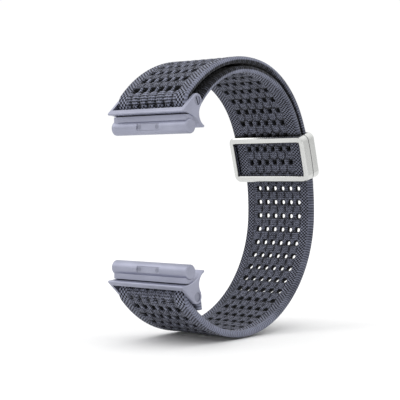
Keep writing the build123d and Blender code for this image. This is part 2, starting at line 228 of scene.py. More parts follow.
def cell_seams(side, rise):
    """The bowed seam at a cell's foot and the straight ones at its two sides."""
    foot = rise - FOOT_HEIGHT - (side * 2 / COLUMN_PITCH) ** 2
    straight = (bump(np.abs(side) - COLUMN_PITCH / 2, STRAIGHT_SEAM_WIDTH)
                * ramp(rise, *STRAIGHT_SEAM_BEGINS) * (1 - ramp(rise, *STRAIGHT_SEAM_STOPS)))
    return SEAM_DEPTH * np.maximum(bump(foot, SEAM_WIDTH), straight)


def showing_face(along, side, ahead, hole, rows, facing, ridge, pit_reach):
    """Pit, seam and crest. Facing is 1 if a cell's foot is its end farther along, else -1."""
    beyond = along - np.clip(along, rows[0], rows[-1])
    flank = pit_reach * (1 + LAST_PITS_WIDER * bump(along - rows[-1], LAST_PITS_WITHIN))
    pit = 1 - ramp(hole, 1, 1 + flank)
    crest = ridge * bump(ahead, CREST_WIDTH) * ramp(np.abs(side), *CREST_BESIDE_HOLE)
    lip = LIP_HEIGHT * bump(beyond - LIP_FROM_ROW, LIP_WIDTH) * (1 - bump(side, 0.5))
    seam = cell_seams(side, np.mod((rows[0] - along) * facing, ROW_PITCH))
    if ridge:
        in_blocks = ramp(np.abs(beyond), *BLOCKS_AFTER_ROW)
        groove = np.where(beyond > 0, UPPER_GROOVE, LOWER_GROOVE) * bump(side, GROOVE_WIDTH)
        seam = np.maximum(seam * (1 - in_blocks), groove * in_blocks)
    return pit, seam, np.maximum(crest, lip)


print("deepest seam:", cell_seams(np.array([0.0]), np.array([FOOT_HEIGHT])).round(2)[0], "mm")

# %% [markdown]
# The face that lies on the skin is smoother. Its pits are narrow, and one long seam runs from
# hole to hole in each column. The yarns cross the fabric at a slant, so these seams and the
# stitches between them come out a little to one side of the holes, as they do on the real band.
# One function could serve both faces, but it would be full of switches and harder to read.

# %% The face that lies on the skin
SKIN_PIT_EDGE = 1.5
SKIN_SEAM_DEPTH, SKIN_SEAM_WIDTH = 0.34, 0.30
SEAM_CLEAR_OF_ROW = (1.05, 1.35)
CROSS_SEAM_DEPTH, CROSS_SEAM_WIDTH = 0.24, 0.34
CROSS_SEAM_BEFORE_ROW = 0.75
SEAM_ASIDE, STITCHES_ASIDE = 0.85, 0.75


def skin_face(along, across, ahead, hole, rows, cell):
    """Pit, seam and crest, as for the face that shows."""
    pit = 1 - ramp(hole, 1, SKIN_PIT_EDGE)
    seam = (SKIN_SEAM_DEPTH * bump(nearest(across - SEAM_ASIDE, COLUMNS), SKIN_SEAM_WIDTH)
            * ramp(ahead, *SEAM_CLEAR_OF_ROW))
    under = nearest(along + CROSS_SEAM_BEFORE_ROW, rows)
    cross_seam = CROSS_SEAM_DEPTH * bump(under, CROSS_SEAM_WIDTH) * (0.55 - 0.45 * cell)
    return pit, np.maximum(seam, cross_seam), 0.0


print("seams lie", SEAM_ASIDE, "mm and stitches", STITCHES_ASIDE, "mm beside the holes")

# %% [markdown]
# Where yarns are drawn aside to leave a hole, the fabric thins to a narrow waist, so light still
# comes through when the band is seen at a slant. That is why the height runs down to a waist at
# each pit. The last pits before an adapter are blind: they dent the cloth but don't go through.
# Beside the field of holes lies the selvedge, which is flat but for fine ribs.
# The same function gives each place a painted shade, because a pit or a seam looks darker than its
# height
# alone could make it: the real yarns shade each other. Crests catch more light, so they get a
# painted highlight.

# %% Height and darkness of the knit
BAND_HALF_WIDTH = 12.1
BAND_HALF_THICKNESS = 0.95
EDGE_ROUNDING = 0.8
HOLE_ACROSS = 0.59
HOLE_ALONG = 0.62
SHOWING_WAIST = -0.16
SKIN_WAIST = 0.48
FIELD_END, SELVEDGE_START = 7.9, 8.6
BLIND_DEPTH, BLIND_REACH = 0.45, 1.8
CELL_DOME = 0.05
RIB_HEIGHT, RIBS_IN_A_ROW = 0.03, 7
PIT_SHADE, CORE_SHADE, SEAM_SHADE = 1.25, 0.6, 1.9
LIGHTEST, DARKEST = -0.5, 1.8


def knit_height(along, across, rim, rows, blind_rows, shows, facing, ridge, hole_size, pit_reach):
    """Height over the band's middle, and painted shade: 1 or more in a pit, below 0 (a painted
    highlight) on a crest.
    """
    side = nearest(across, COLUMNS)
    ahead = np.abs(nearest(along, rows))
    hole = np.hypot(side / HOLE_ACROSS, ahead / HOLE_ALONG) / hole_size
    field = 1 - ramp(np.abs(across), FIELD_END, SELVEDGE_START)
    cell = np.cos(2 * np.pi * side / COLUMN_PITCH)
    if shows:
        waist = SHOWING_WAIST
        pit, seam, crest = showing_face(along, side, ahead, hole, rows, facing, ridge, pit_reach)
    else:
        waist = SKIN_WAIST
        pit, seam, crest = skin_face(along, across, ahead, hole, rows, cell)
    if blind_rows:
        blind = np.hypot(side / HOLE_ACROSS, nearest(along, blind_rows) / HOLE_ALONG)
        pit = np.maximum(pit, BLIND_DEPTH * (1 - ramp(blind, 0, BLIND_REACH)) * field)
    selvedge = ramp(np.abs(across), SELVEDGE_START, SELVEDGE_START + 0.5)
    ribs = RIB_HEIGHT * (np.sin(2 * np.pi * along * RIBS_IN_A_ROW / ROW_PITCH) * selvedge - 1)
    worked = rim - (seam + CELL_DOME * (1 + cell)) * field + ribs
    # Painted shade in pits and seams, and a painted highlight on crests.
    darkness = PIT_SHADE * pit + CORE_SHADE * pit ** 4 + (SEAM_SHADE * seam - crest) * field
    return worked + (waist - worked) * pit, np.clip(darkness, LIGHTEST, DARKEST)


print("fabric at a hole's waist:", round(SHOWING_WAIST + SKIN_WAIST, 2), "mm thick, elsewhere",
      2 * BAND_HALF_THICKNESS, "mm")

# %% [markdown]
# Inside the ring the light is weaker, and hardly any of it gets between the two layers where
# they lie close together. A path tracer finds some of that shade by itself, but the soft light
# of this scene leaves it too pale, so the yarn there is drawn darker. The selvedge and the
# rounded rim of the far side are darkened a little, and the faces in the gap almost fully. Low
# down, where there is no second layer, the faces on the skin stay as they are.

# %% Yarn that lies in the shade
FAR_SIDE = (34, 46)
GAP_UPWARD = (-10.5, -8.5)
SELVEDGE_YARN, SHADED_RIM, OUTER_RIM = (8.4, 8.9), (11.0, 11.6), (11.7, 12.2)
SELVEDGE_SHADE, RIM_SHADE, FOLD_SHADE = 0.20, 0.10, 0.8


def out_of_the_light(arcs, along, girth, shows):
    """Darkness from the place in the ring: 0 in the light, 1 deep in the gap."""
    _, y, z = np.moveaxis(band_points(arcs, along, np.zeros_like(along), 0.0), -1, 0)
    edge = np.abs(girth)
    far = ramp(y, *FAR_SIDE)
    dimmed = far * (SELVEDGE_SHADE * ramp(edge, *SELVEDGE_YARN)
                    + RIM_SHADE * ramp(edge, *SHADED_RIM))
    if not shows:
        in_gap = ramp(z, *GAP_UPWARD)
        off_the_rim = 1 - ramp(edge, *OUTER_RIM)
        dimmed = np.maximum(dimmed, in_gap * (FOLD_SHADE * (1 - far) + far * off_the_rim))
    return dimmed


low_and_high = out_of_the_light(running_arcs, running_length * np.array([0.3, 0.6]),
                                np.zeros(2), shows=False)
print("shade low in the ring and in the gap:", low_and_high.round(2))

# %% [markdown]
# The band's section is a flat oblong with rounded edges. Its two faces are grids with the same
# columns, so that the wall of a hole is just a strip from one face to the other. Columns are
# numbered from the middle, and the grid is laid so that each hole sits on a crossing.
# A Boolean could cut the holes instead, but it leaves long thin faces that shade badly.

# %% Columns of the band's section
ACROSS_STEPS = 10
FIELD_STEPS = 26
SELVEDGE_STEPS = 12
RIM_STEPS = 3


def section_columns():
    """Across, height of the plain face and distance round the section, for one face."""
    flat_end = BAND_HALF_WIDTH - EDGE_ROUNDING
    middle = np.arange(0, FIELD_STEPS) * COLUMN_PITCH / ACROSS_STEPS
    selvedge = np.linspace(middle[-1], flat_end, SELVEDGE_STEPS + 1)[1:]
    across = np.concatenate([middle, selvedge])
    turn = np.linspace(0, math.pi / 2, RIM_STEPS + 1)[1:]
    height = np.concatenate([
        np.full(len(across), BAND_HALF_THICKNESS),
        BAND_HALF_THICKNESS - EDGE_ROUNDING * (1 - np.cos(turn))])
    girth = np.concatenate([across, flat_end + EDGE_ROUNDING * turn])
    across = np.concatenate([across, flat_end + EDGE_ROUNDING * np.sin(turn)])
    return (np.concatenate([-across[:0:-1], across]), np.concatenate([height[:0:-1], height]),
            np.concatenate([-girth[:0:-1], girth]))


section_across, section_height, section_girth = section_columns()
middle_column = len(section_across) // 2
rounded_edge = np.abs(section_girth) > BAND_HALF_WIDTH - EDGE_ROUNDING + 0.1
print("columns on one face:", len(section_across))

# %% [markdown]
# A hole starts as a square of sixteen grid edges. The corners are drawn in until they lie on an
# oval, and the next ring of points follows half way, so that the faces round it stay even.

# %% Draw the grid round the holes
HOLE_REACH = 2
NEXT_RING_FURTHER = 0.56
NEXT_RING_SHARE = 0.45


def ring_offsets(reach):
    """Steps from a hole's middle to the points of a square ring, in order round it."""
    line = list(range(-reach, reach))
    return ([(-reach, n) for n in line] + [(n, reach) for n in line]
            + [(reach, -n) for n in line] + [(-n, -reach) for n in line])


def draw_in(along, across, row_index, column_index, hole_size):
    """Moves two rings of points round one hole. Works on the grids in place."""
    s0, x0 = along[row_index, column_index], across[row_index, column_index]
    for further, share in ((0, 1.0), (1, NEXT_RING_SHARE)):
        grow = hole_size + further * NEXT_RING_FURTHER
        for ds, dx in ring_offsets(HOLE_REACH + further):
            i, j = row_index + ds, column_index + dx
            angle = math.atan2(ds, dx)
            s = s0 + HOLE_ALONG * grow * math.sin(angle)
            x = x0 + HOLE_ACROSS * grow * math.cos(angle)
            along[i, j] += share * (s - along[i, j])
            across[i, j] += share * (x - across[i, j])


print("points round a hole:", len(ring_offsets(HOLE_REACH)))

# %% [markdown]
# Each layer's grid has fourteen steps from row to row. Rows and columns of the grid that pass
# through a hole's middle are known by number, so the holes' places need no search. The squares
# inside a hole are left out of both faces.

# %% Lay out a layer's grid
ALONG_STEPS = 14


def along_grid(start, end, rows):
    """Distances along the band for the grid's rows, and which of them is the first row of holes."""
    step = ROW_PITCH / ALONG_STEPS
    before = int((rows[0] - start) / step)
    after = int((end - rows[-1]) / step)
    count = round((rows[-1] - rows[0]) / step)
    grid = rows[0] + np.arange(-before, count + after + 1) * step
    grid[0], grid[-1] = start, end
    return grid, before


def pierced_grid(grid, first_row, row_count, hole_size):
    """Along and across of each point, the squares that stay, and the holes' middles."""
    along = np.repeat(grid[:, None], len(section_across), 1)
    across = np.repeat(section_across[None, :], len(grid), 0)
    stays = np.ones((len(grid) - 1, len(section_across) - 1), bool)
    holes = [(first_row + n * ALONG_STEPS, middle_column + round(x / COLUMN_PITCH * ACROSS_STEPS))
             for n in range(row_count) for x in COLUMNS]
    for i, j in holes:
        draw_in(along, across, i, j, hole_size)
        stays[i - HOLE_REACH:i + HOLE_REACH, j - HOLE_REACH:j + HOLE_REACH] = False
    return along, across, stays, holes


print("steps along the band:", round(ROW_PITCH / ALONG_STEPS, 2), "mm")

# %% [markdown]
# The faces are written as plain lists of numbers, because a modifier stack would take far longer
# over so many holes. There are the squares of both faces, a wall in each hole, and walls down
# the two long edges and across the two ends, which close the mesh.

# %% Faces of a layer


def face_squares(stays, first, flip):
    """The squares of one face, whose points are numbered from first."""
    rows, columns = stays.shape
    i, j = np.meshgrid(np.arange(rows), np.arange(columns), indexing="ij")
    corner = first + i * (columns + 1) + j
    squares = np.stack([corner, corner + 1, corner + columns + 2, corner + columns + 1], -1)
    return (squares[..., ::-1] if flip else squares)[stays]


def strip(first, second):
    """Faces of a strip between two lists of points."""
    return [(a, b, d, c) for a, b, c, d in zip(first[:-1], first[1:], second[:-1], second[1:])]


def layer_faces(stays, holes):
    """All faces of a layer whose outer face comes first."""
    rows, columns = stays.shape[0] + 1, stays.shape[1] + 1
    size = rows * columns
    left = [i * columns for i in range(rows)]
    right = [n + columns - 1 for n in left]
    start, end = list(range(columns)), list(range(size - columns, size))

    def below(points):
        return [n + size for n in points]

    walls = []
    for i, j in holes:
        ring = [(i + ds) * columns + j + dx for ds, dx in ring_offsets(HOLE_REACH)]
        walls += strip(ring + ring[:1], below(ring + ring[:1]))
    walls += (strip(left, below(left)) + strip(below(right), right)
              + strip(below(start), start) + strip(end, below(end)))
    return np.concatenate([face_squares(stays, 0, True), face_squares(stays, size, False), walls])


print("faces of a grid of 2 by 3 squares, closed all round:",
      len(layer_faces(np.ones((2, 3), bool), [])))

# %% [markdown]
# Every mesh in this script is made in the same way: unused points are dropped, all faces are
# turned outward, and edges that turn by more than 80 degrees stay sharp when shaded. Open edges
# are counted, because only a mesh with none has a true volume and can be printed.
# The knitted pieces also keep each point's place in the knit, and its painted shade, as an
# attribute. The material reads it to lay its yarns along the band and not along the room's axes.

# %% Make a mesh object
SHARP_EDGE = 80


def make_mesh(name, points, faces, places=None):
    """A mesh object without points that no face uses, with its faces turned outward."""
    used = np.unique(faces)
    renumber = np.zeros(len(points), int)
    renumber[used] = np.arange(len(used))
    mesh = bpy.data.meshes.new(name)
    mesh.from_pydata(points[used], [], renumber[faces].tolist())
    if places is not None:
        mesh.attributes.new("knit", "FLOAT_VECTOR", "POINT").data.foreach_set(
            "vector", places[used].astype(np.float32).ravel())
    mesh.validate()
    piece = bpy.data.objects.new(name, mesh)
    bpy.context.scene.collection.objects.link(piece)
    turn_outward(mesh)
    mesh.shade_smooth()
    mesh.set_sharp_from_angle(angle=math.radians(SHARP_EDGE))
    return piece


def turn_outward(mesh):
    shape = bmesh.new()
    shape.from_mesh(mesh)
    bmesh.ops.recalc_face_normals(shape, faces=shape.faces)
    if shape.calc_volume(signed=True) < 0:
        bmesh.ops.reverse_faces(shape, faces=shape.faces)
    loose = sum(not edge.is_manifold for edge in shape.edges)
    print(mesh.name, "faces:", len(shape.faces), "open edges:", loose,
          "volume:", round(shape.calc_volume() / MM ** 3, 1), "mm3")
    shape.to_mesh(mesh)
    shape.free()


# %% [markdown]
# Now a layer can be knitted. Its two faces share one grid and differ in height. On the rounded
# edges the plain section's height stays, so the rim is even. A layer that goes into the clasp
# gets a painted shadow where it enters, and its hidden end is squeezed flat for the crimp.

# %% Knit one layer
ENTRY_SHADE, ENTRY_WIDTH = 1.1, 0.6


def knit_layer(name, arcs, start, end, rows, blind_rows, showing_outside, facing, ridge=0.0,
               hole_size=1.0, pit_reach=1.1, squeeze=1.0, entry=None):
    """One layer of the band as a mesh object. Entry is where it goes into the clasp and gets a
    painted shadow.
    """
    grid, first_row = along_grid(start, end, rows)
    along, across, stays, holes = pierced_grid(grid, first_row, len(rows), hole_size)
    rim = np.repeat(section_height[None, :], len(grid), 0)
    girth = np.repeat(section_girth[None, :], len(grid), 0)
    points, places = [], []
    for outward in (1, -1):
        shows = showing_outside == (outward > 0)
        height, darkness = knit_height(along, across, rim, rows, blind_rows if shows else [],
                                       shows, facing, ridge, hole_size, pit_reach)
        height = np.where(rounded_edge, rim, height) * np.where(along < 0, squeeze, 1)
        darkness = darkness + out_of_the_light(arcs, along, girth, shows)
        # Painted shadow where the layer goes in under the clasp's edge.
        if shows and entry is not None:
            darkness = np.maximum(darkness, ENTRY_SHADE * bump(along - entry, ENTRY_WIDTH))
        points.append(band_points(arcs, along, across, outward * height).reshape(-1, 3))
        aside = 0.0 if shows else STITCHES_ASIDE
        # The third number of the knit attribute is the painted shade.
        places.append(np.stack([girth + aside, along - rows[0], darkness], -1).reshape(-1, 3))
    return make_mesh(name, np.concatenate(points) * MM, layer_faces(stays, holes),
                     np.concatenate(places))


print("a layer is darkened over", 2 * ENTRY_WIDTH, "mm where it enters the clasp")

# %% [markdown]
# The running layer goes from the lower bar all round the ring to the upper bar, with its showing
# face outside. Folded back round the upper bar it becomes the return layer, whose showing face
# is therefore inside, and whose cells stand the other way up. The return layer is stretched
# less, so its holes are smaller. The two are pieces of their own because only the return layer
# bends when the clasp slides.

# %% Knit both layers
TAB_LENGTH = 4.11
fold_pits = [running_rows[0] - 5.6, running_rows[0] - 2.9, running_rows[-1] + 4.25]
running_knit = knit_layer("knitted_running_layer", running_arcs, -TAB_LENGTH, running_length,
                          running_rows, fold_pits, showing_outside=True, facing=1, ridge=0.6)
return_knit = knit_layer("knitted_return_layer", return_arcs, -0.85, return_length,
                         return_rows, [], showing_outside=False, facing=-1,
                         hole_size=0.78, pit_reach=0.65, squeeze=0.85, entry=12.3)

# %% [markdown]
# The sewing thread and the springs' wire are both tubes. A curve object with a bevel would give
# a tube too, but a mesh can be bent between two bodies as it is. So a tube is a row of rings of
# eight points, and this helper lists its faces. Three squares close each end.

# %% Faces of a tube
TUBE_SIDES = 8


def tube_faces(first, steps):
    """Sides and two ends of a tube whose rings of eight points are numbered from first."""
    faces = []
    for ring in range(first, first + steps * TUBE_SIDES, TUBE_SIDES):
        for k in range(TUBE_SIDES):
            a, b = ring + k, ring + (k + 1) % TUBE_SIDES
            faces.append((a, b, b + TUBE_SIDES, a + TUBE_SIDES))
    for end in (first, first + steps * TUBE_SIDES):
        faces += [(end, end + 1, end + 2, end + 3), (end, end + 3, end + 4, end + 7),
                  (end + 4, end + 5, end + 6, end + 7)]
    return faces


print("faces of the shortest tube:", len(tube_faces(0, 1)))

# %% [markdown]
# The short tab at the lower bar is held by two rows of stitches. Each stitch is a bit of thread
# that comes up through the fabric, lies on it for a moment and goes down again, so it is swept
# as two small bowed tubes, its plies, which twist round each other, swell and narrow.
# One long thread through all the stitches would be truer, but most of it would lie unseen
# inside the fabric.

# %% Sew the tab
STITCH_STEPS = 14
STITCHES_IN_A_ROW, STITCH_PITCH, SEWN_ROW_PITCH = 10, 2.2, 1.3
STITCH_HALF_LENGTH, STITCH_BOW, ABOVE_FABRIC = 0.75, 0.16, 0.03
PLY_RADIUS, PLY_SHIFT, PLY_TWIST = 0.085, 0.45 * 0.085, 1.6
TIP_SHARE = 0.35


def ply(x, row, number):
    """Across, along and lift of the points of one of a stitch's two plies."""
    points = []
    for n in range(STITCH_STEPS + 1):
        t = -1 + 2 * n / STITCH_STEPS
        twist = math.pi * (number + PLY_TWIST * t)
        rise = math.sqrt(max(0.0, 1 - t * t)) * STITCH_BOW
        swell = TIP_SHARE + (1 - TIP_SHARE) * math.sqrt(max(0.0, 1 - t ** 4))
        for k in range(TUBE_SIDES):
            a = 2 * math.pi * k / TUBE_SIDES
            shift = PLY_SHIFT * math.cos(twist) + PLY_RADIUS * swell * math.cos(a)
            lift = PLY_SHIFT * math.sin(twist) + PLY_RADIUS * swell * math.sin(a)
            points.append((x + t * STITCH_HALF_LENGTH, row + shift, rise + lift))
    return points


def sewn_rows():
    points, faces = [], []
    for row in (0.5, 1.5):
        for place in range(STITCHES_IN_A_ROW):
            for number in (0, 1):
                faces += tube_faces(len(points), STITCH_STEPS)
                points += ply((place - (STITCHES_IN_A_ROW - 1) / 2) * STITCH_PITCH,
                              -TAB_LENGTH + row * SEWN_ROW_PITCH, number)
    across, along, lift = np.array(points).T
    lift = lift + BAND_HALF_THICKNESS + ABOVE_FABRIC
    return band_points(running_arcs, along, across, lift) * MM, np.array(faces)


stitching = make_mesh("tab_stitching", *sewn_rows())

# %% [markdown]
# Behind each detent button sits a small coil spring, which the button squeezes when it is
# pressed. The solid's mesh has to stay as it is, so a wire swept along a helix takes its place. A
# screw modifier could wind it too, but here the helix and the wire's thickness come from the
# solid's own box.

# %% Wind the springs
SPRING_TURNS = 3
STEPS_IN_A_TURN = 28
WIRE_RADIUS = 0.09


def wound_spring(name, node):
    """A round wire wound about the Y axis through the middle of a node's box."""
    low, high = [np.array(corner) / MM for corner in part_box(node)]
    middle = (low + high) / 2
    coil_radius = (high[0] - low[0]) / 2 - WIRE_RADIUS
    steps = STEPS_IN_A_TURN * SPRING_TURNS
    rise = high[1] - low[1] - 2 * WIRE_RADIUS
    pitch = rise / (2 * math.pi * SPRING_TURNS * coil_radius)
    points = []
    for n in range(steps + 1):
        turn = 2 * math.pi * SPRING_TURNS * n / steps
        outward = Vector((math.cos(turn), 0, math.sin(turn)))
        onward = Vector((-math.sin(turn), pitch, math.cos(turn)))
        upward = onward.normalized().cross(outward)
        height = low[1] + WIRE_RADIUS + rise * n / steps
        centre = Vector((middle[0], height, middle[2])) + outward * coil_radius
        for k in range(TUBE_SIDES):
            a = 2 * math.pi * k / TUBE_SIDES
            points.append(centre + WIRE_RADIUS * (math.cos(a) * outward + math.sin(a) * upward))
    return make_mesh(name, np.array(points) * MM, np.array(tube_faces(0, steps)))


springs = {side: wound_spring(side + "_spring_wire", side + "_detent_spring")
           for side in ("upper", "lower")}

# %% [markdown]
# Finishes are nodes, but a pattern is easier to read as a sum. This small class holds one output
# of a node, and adding or multiplying it puts the Math node in for you. The forms with an r work
# when the plain number comes first, as in 1 - mask.

# %% Sums of node outputs


class Wire:
    """One output of a node, ready for arithmetic."""

    def __init__(self, tree, socket):
        self.tree, self.socket = tree, socket

    def __add__(self, other):
        return self.tree.math("ADD", self, other)

    def __radd__(self, other):
        return self.tree.math("ADD", other, self)

    def __sub__(self, other):
        return self.tree.math("SUBTRACT", self, other)

    def __rsub__(self, other):
        return self.tree.math("SUBTRACT", other, self)

    def __mul__(self, other):
        return self.tree.math("MULTIPLY", self, other)

    def __rmul__(self, other):
        return self.tree.math("MULTIPLY", other, self)

    def __truediv__(self, other):
        return self.tree.math("DIVIDE", self, other)

    def __rtruediv__(self, other):
        return self.tree.math("DIVIDE", other, self)

    def __abs__(self):
        return self.tree.math("ABSOLUTE", self)


# %% [markdown]
# A node tree is made by one method, which takes a node's type, its settings, and the values or
# wires of its sockets. The short methods under it name the few nodes that this strap needs
# often. A material and the sky are both node trees, so they share this class.

# %% Node trees


class NodeTree:
    """A node tree in the making. Its node() adds a node and gives one of its outputs."""

    def __init__(self, tree):
        self.nodes, self.links = tree.nodes, tree.links

    def node(self, kind, settings=None, values=None, output=0):
        made = self.nodes.new("ShaderNode" + kind)
        for name, value in (settings or {}).items():
            setattr(made, name, value)
        for name, value in (values or {}).items():
            self.plug(value, made.inputs[name])
        return Wire(self, made.outputs[output])

    def plug(self, value, socket):
        if isinstance(value, Wire):
            self.links.new(value.socket, socket)
        else:
            socket.default_value = value

    def math(self, operation, *values):
        return self.node("Math", {"operation": operation}, dict(enumerate(values)))

    def split(self, vector):
        """The three numbers of a vector."""
        parts = self.node("SeparateXYZ", None, {0: vector}).socket.node
        return [Wire(self, output) for output in parts.outputs]

    def wave(self, place):
        """Sine of a place counted in turns."""
        return self.math("SINE", place * (2 * math.pi))

    def step(self, value, low, high):
        """0 below low, 1 above high, and smooth between."""
        return self.node("MapRange", {"interpolation_type": "SMOOTHSTEP"},
                         {"Value": value, "From Min": low, "From Max": high})

    def mix(self, share, first, second):
        """Between two colours, which are the Mix node's sockets 6 and 7 and its output 2."""
        return self.node("Mix", {"data_type": "RGBA"}, {0: share, 6: first, 7: second}, output=2)

    def noise(self, place, scale, detail=2.0):
        return self.node("TexNoise", None, {"Vector": place, "Scale": scale, "Detail": detail})


# %% [markdown]
# Each material starts from the ready surface node. Its own sockets take the constants directly.
# Colours are given as the usual 0 to 255 numbers of a picture, and have to be turned into
# amounts of light, because nodes add and mix light.

# %% Finishes and colours


class Finish(NodeTree):
    """A material in the making."""

    def __init__(self, name):
        self.material = bpy.data.materials.new(name)
        self.material.use_nodes = True
        super().__init__(self.material.node_tree)
        self.surface = self.nodes["Principled BSDF"]

    def set(self, **values):
        """Sets the surface's own sockets, named with _ for a space."""
        for name, value in values.items():
            self.plug(value, self.surface.inputs[name.replace("_", " ")])

    def raise_by(self, height, distance):
        """Makes the surface look raised by a height from 0 to 1 times a distance in metres."""
        self.set(Normal=self.node("Bump", None, {"Height": height, "Distance": distance}))


def shade(*levels):
    """A colour from red, green and blue of 0 to 255, as the light that it stands for."""
    parts = [level / 255 for level in levels]
    return (*[part / 12.92 if part <= 0.04045 else ((part + 0.055) / 1.055) ** 2.4
              for part in parts], 1.0)


def cover(piece, finish):
    """Gives a piece one finish all over."""
    piece.data.materials.clear()
    piece.data.materials.append(finish.material)
    for slot in piece.material_slots:
        slot.link = "DATA"


print("middle grey as light:", round(shade(128, 128, 128)[0], 3))

# %% [markdown]
# The band is knitted from matt slate yarn. Seen close, the middle is columns of small V
# stitches, the selvedge is a bird's-eye of dark dots, and the rounded rim has ribs that run
# across it. None of these is deep enough to need its own mesh, so they are drawn from each
# point's place in the knit and raised by a bump. A picture of cloth could be laid on instead,
# but it would stretch at the folds and show where it repeats.
# Each pattern is a wave times its contrast plus its level, which say how strongly it shows and
# how light it is as a whole. Fluff, wobble and patches are noise: the first roughens the yarn, the
# second bends its lines a little, and the third makes it a bit uneven over a larger area.

# %% Sizes and strengths of the stitches
WALE, COURSE = 0.722, 0.607
EYE_ACROSS, EYE_ALONG = 1.16, 1.0
RIM_RIB = 0.8
BEAD = 0.6
FIELD_CONTRAST, FIELD_LEVEL, FIELD_FLUFF = 0.75, 0.21, 2.7
EYE_CONTRAST, EYE_LEVEL = 2.1, -0.95
RIM_CONTRAST, RIM_LEVEL = 0.45, 0.68
FLUFF_SCALE, WOBBLE_SCALE, PATCH_SCALE = 2.3, 0.9, 0.28
RIM_YARN = (11.4, 11.7)
LIP_AFTER_LAST_ROW, NO_LIP_AFTER = (4.0, 4.6), (-6.4, -5.2)
YARN_RELIEF = 0.16 * MM
last_row = running_rows[-1] - running_rows[0]
print("stitches in a cell:", round(COLUMN_PITCH / WALE), "wide and",
      round(ROW_PITCH / COURSE), "high")

# %% [markdown]
# The stitches of the field lean to and fro, as the two legs of a V do. In the raised blocks past
# the last row they lie nearly level, and the lip near each adapter has the selvedge's dots.

# %% Patterns of the knit


def field_stitches(yarn, girth, along, wobble, fluff):
    """Relief of the V stitches in the middle of the band."""
    block = yarn.step(along, *[last_row + n for n in BLOCKS_AFTER_ROW])
    lean = yarn.math("PINGPONG", girth / WALE + 0.5, 0.5) * (1.2 - block * 1.1)
    stitches = yarn.wave(along / COURSE + lean + wobble * 0.5) * 0.5 + 0.5
    contrast = FIELD_CONTRAST + block * 0.2
    return stitches * contrast + fluff * FIELD_FLUFF + FIELD_LEVEL - block * 0.05


def bird_eyes(yarn, girth, along, wobble, fluff):
    """Relief of the selvedge, with a dark dot where neither yarn comes up."""
    eyes = yarn.wave(girth / EYE_ACROSS + wobble * 0.15) * yarn.wave(along / EYE_ALONG)
    return yarn.step(eyes + fluff * 0.6, -0.42, 0.2) * EYE_CONTRAST + EYE_LEVEL


def rim_ribs(yarn, along, wobble, fluff):
    """Relief of the ribs that run across the rounded rim."""
    waves = yarn.wave(along / RIM_RIB + wobble * 0.3)
    return yarn.step(waves + fluff, -0.8, 0.8) * RIM_CONTRAST + RIM_LEVEL


# %% [markdown]
# The three patterns are joined by masks, each a smooth step on the distance from the middle. A
# mask of 1 shows the next pattern and 1 - mask the one before. Darkness from the knit's attribute
# is taken off at the end, in beads, because a shaded place shows the yarn's humps too. What comes
# out is one number, the tone, which picks a colour between the dark and the light yarn.

# %% Knitted yarn


def knitted_yarn(name, light_yarn, dark_yarn):
    yarn = Finish(name)
    knit = yarn.node("Attribute", {"attribute_name": "knit"}, output="Vector")
    girth, along, darkness = yarn.split(knit)
    fluff = yarn.noise(knit, FLUFF_SCALE, 3.0) - 0.5
    wobble = yarn.noise(knit, WOBBLE_SCALE) - 0.5
    patch = yarn.noise(knit, PATCH_SCALE) - 0.5

    selvedge = yarn.step(abs(girth) + wobble * 0.8, *SELVEDGE_YARN)
    lip = (yarn.step(along, *[last_row + n for n in LIP_AFTER_LAST_ROW])
           + (1 - yarn.step(along, *NO_LIP_AFTER)))
    selvedge = selvedge + lip * 0.75 * (1 - selvedge)
    rim = yarn.step(abs(girth) + wobble * 0.4, *RIM_YARN)

    relief = (field_stitches(yarn, girth, along, wobble, fluff) * (1 - selvedge)
              + bird_eyes(yarn, girth, along, wobble, fluff) * selvedge)
    relief = relief * (1 - rim) + rim_ribs(yarn, along, wobble, fluff) * rim
    beads = yarn.wave(along / BEAD) * 0.3 + 0.95
    tone = relief * 0.8 + patch * 0.45 + 0.10 - darkness * beads
    yarn.set(Base_Color=yarn.mix(yarn.step(tone, 0.0, 1.6), dark_yarn, light_yarn),
             Roughness=0.85 + fluff * 0.12, Specular_IOR_Level=0.15,
             Sheen_Weight=0.1, Sheen_Roughness=0.5)
    yarn.raise_by(relief, YARN_RELIEF)
    return yarn


band_yarn = knitted_yarn("slate_knit", shade(152, 156, 177), shade(4, 5, 10))
for piece in (running_knit, return_knit):
    cover(piece, band_yarn)
print("nodes in the yarn:", len(band_yarn.nodes))

# %% [markdown]
# Sewing thread is the same slate, a little glossier. Its two plies are real tubes already, so
# only its fibres are left to draw, and fine noise is enough for them.

# %% Sewing thread
FIBRES_TO_A_METRE = 2600.0
thread = Finish("slate_thread")
fibre = thread.noise(thread.node("TexCoord", output="Object"), FIBRES_TO_A_METRE)
thread.set(Base_Color=thread.mix(fibre, shade(70, 72, 88), shade(120, 123, 142)),
           Roughness=0.6 + fibre * 0.2)
thread.raise_by(fibre, 0.03 * MM)
cover(stitching, thread)
print("nodes in the thread:", len(thread.nodes))

# %% [markdown]
# The adapters are cast and blasted metal with a bluish coat, which is matt and looks soft in
# wide light. The clasp is brushed to a satin, so its grain is drawn out along X. The pins and
# springs are turned steel, and the crimp is pressed strip. In all of them the grain is far finer
# than a millimetre, so noise drives only a faint bump and slight changes in tone and gloss. The
# real pieces look new, so no wear is drawn.

# %% Metal with a fine grain


def metal(name, light, dark, gloss, grain, stretch=(1.0, 1.0, 1.0), depth=0.01 * MM, painted_shade=None):
    """A metal finish. Its last argument, if given, is a function that paints shade on its colour.
    """
    made = Finish(name)
    spot = made.node("TexCoord", output="Object")
    laid = made.node("VectorMath", {"operation": "MULTIPLY"}, {0: spot, 1: stretch})
    fine = made.noise(laid, grain, 3.0)
    tone = made.step(fine * 0.5 + made.noise(spot, 180.0) * 0.5, 0.3, 0.7)
    colour = made.mix(tone, dark, light)
    # Painted shade drawn onto the metal's colour.
    if painted_shade:
        colour = painted_shade(made, spot, colour)
    made.set(Base_Color=colour, Roughness=gloss + fine * 0.12 - 0.06, Metallic=1.0)
    made.raise_by(fine, depth)
    return made


